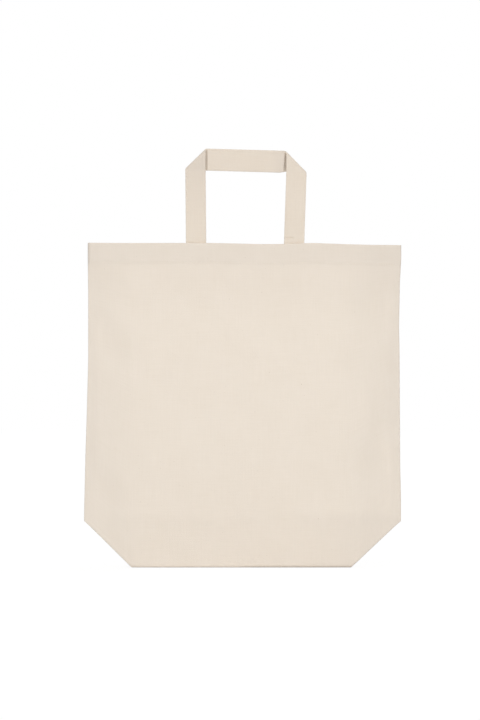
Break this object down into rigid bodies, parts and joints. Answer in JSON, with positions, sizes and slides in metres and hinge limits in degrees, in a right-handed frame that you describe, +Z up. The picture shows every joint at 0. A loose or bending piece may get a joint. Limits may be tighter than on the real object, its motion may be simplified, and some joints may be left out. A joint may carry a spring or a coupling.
{
  "type": "shopper bag",
  "caption": "Upright cotton shopper bag with a hemmed open mouth, slanted bottom corners, a flat boxed base that folds up, and folded strap handles that swing over the hem.",
  "frame": {"origin": "on the floor under the middle of the base", "axes": "+Z up to the handles, -Y out of the front panel, +X to the right seen from the front"},
  "size_m": [0.4022, 0.0696, 0.533],
  "materials": {
    "canvas": "plain weave, matt",
    "strap": "plain weave, matt",
    "thread": "sewing thread"
  },
  "bodies": {
    "front": {"front_panel": "canvas", "front_left_strap_end": "strap", "front_right_strap_end": "strap", "left_corner": "canvas", "right_corner": "canvas", "base_middle": "canvas"},
    "base_front": {"base_front": "canvas"},
    "base_back": {"base_back": "canvas"},
    "back": {"back_panel": "canvas", "back_left_strap_end": "strap", "back_right_strap_end": "strap"},
    "front_left_side": {"front_left_side": "canvas"},
    "front_right_side": {"front_right_side": "canvas"},
    "back_left_side": {"back_left_side": "canvas"},
    "back_right_side": {"back_right_side": "canvas"},
    "front_handle": {"front_handle": "strap"},
    "back_handle": {"back_handle": "strap"}
  },
  "joints": [
    {"name": "fold_flat", "type": "slide", "parent": "front", "child": "back", "axis": [0, -1, 0], "range_m": [0, 0.0453], "deforming": ["left_corner", "right_corner", "base_middle"]},
    {"name": "base_front_fold", "type": "hinge", "parent": "front", "child": "base_front", "pos_m": [0, -0.0328, 0], "axis": [1, 0, 0], "range_deg": [0, 72.1]},
    {"name": "base_back_fold", "type": "hinge", "parent": "back", "child": "base_back", "pos_m": [0, 0.0328, 0], "axis": [-1, 0, 0], "range_deg": [0, 72.1]},
    {"name": "front_left_side_fold", "type": "hinge", "parent": "front", "child": "front_left_side", "pos_m": [-0.143, -0.034, 0.2], "axis": [0, 0, 1], "range_deg": [0, 21.7]},
    {"name": "front_right_side_fold", "type": "hinge", "parent": "front", "child": "front_right_side", "pos_m": [0.143, -0.034, 0.2], "axis": [0, 0, -1], "range_deg": [0, 21.7]},
    {"name": "back_left_side_fold", "type": "hinge", "parent": "back", "child": "back_left_side", "pos_m": [-0.143, 0.034, 0.2], "axis": [0, 0, -1], "range_deg": [0, 21.7]},
    {"name": "back_right_side_fold", "type": "hinge", "parent": "back", "child": "back_right_side", "pos_m": [0.143, 0.034, 0.2], "axis": [0, 0, 1], "range_deg": [0, 21.7]},
    {"name": "front_handle_swing", "type": "hinge", "parent": "front", "child": "front_handle", "pos_m": [0, -0.034, 0.4138], "axis": [1, 0, 0], "range_deg": [0, 175]},
    {"name": "back_handle_swing", "type": "hinge", "parent": "back", "child": "back_handle", "pos_m": [0, 0.034, 0.4138], "axis": [-1, 0, 0], "range_deg": [0, 175]}
  ],
  "couplings": [
    {"joint": "base_front_fold", "follows": "fold_flat", "rad_per_m": 27.74},
    {"joint": "base_back_fold", "follows": "fold_flat", "rad_per_m": 27.74},
    {"joint": "front_left_side_fold", "follows": "fold_flat", "rad_per_m": 8.3221},
    {"joint": "front_right_side_fold", "follows": "fold_flat", "rad_per_m": 8.3221},
    {"joint": "back_left_side_fold", "follows": "fold_flat", "rad_per_m": 8.3221},
    {"joint": "back_right_side_fold", "follows": "fold_flat", "rad_per_m": 8.3221}
  ]
}
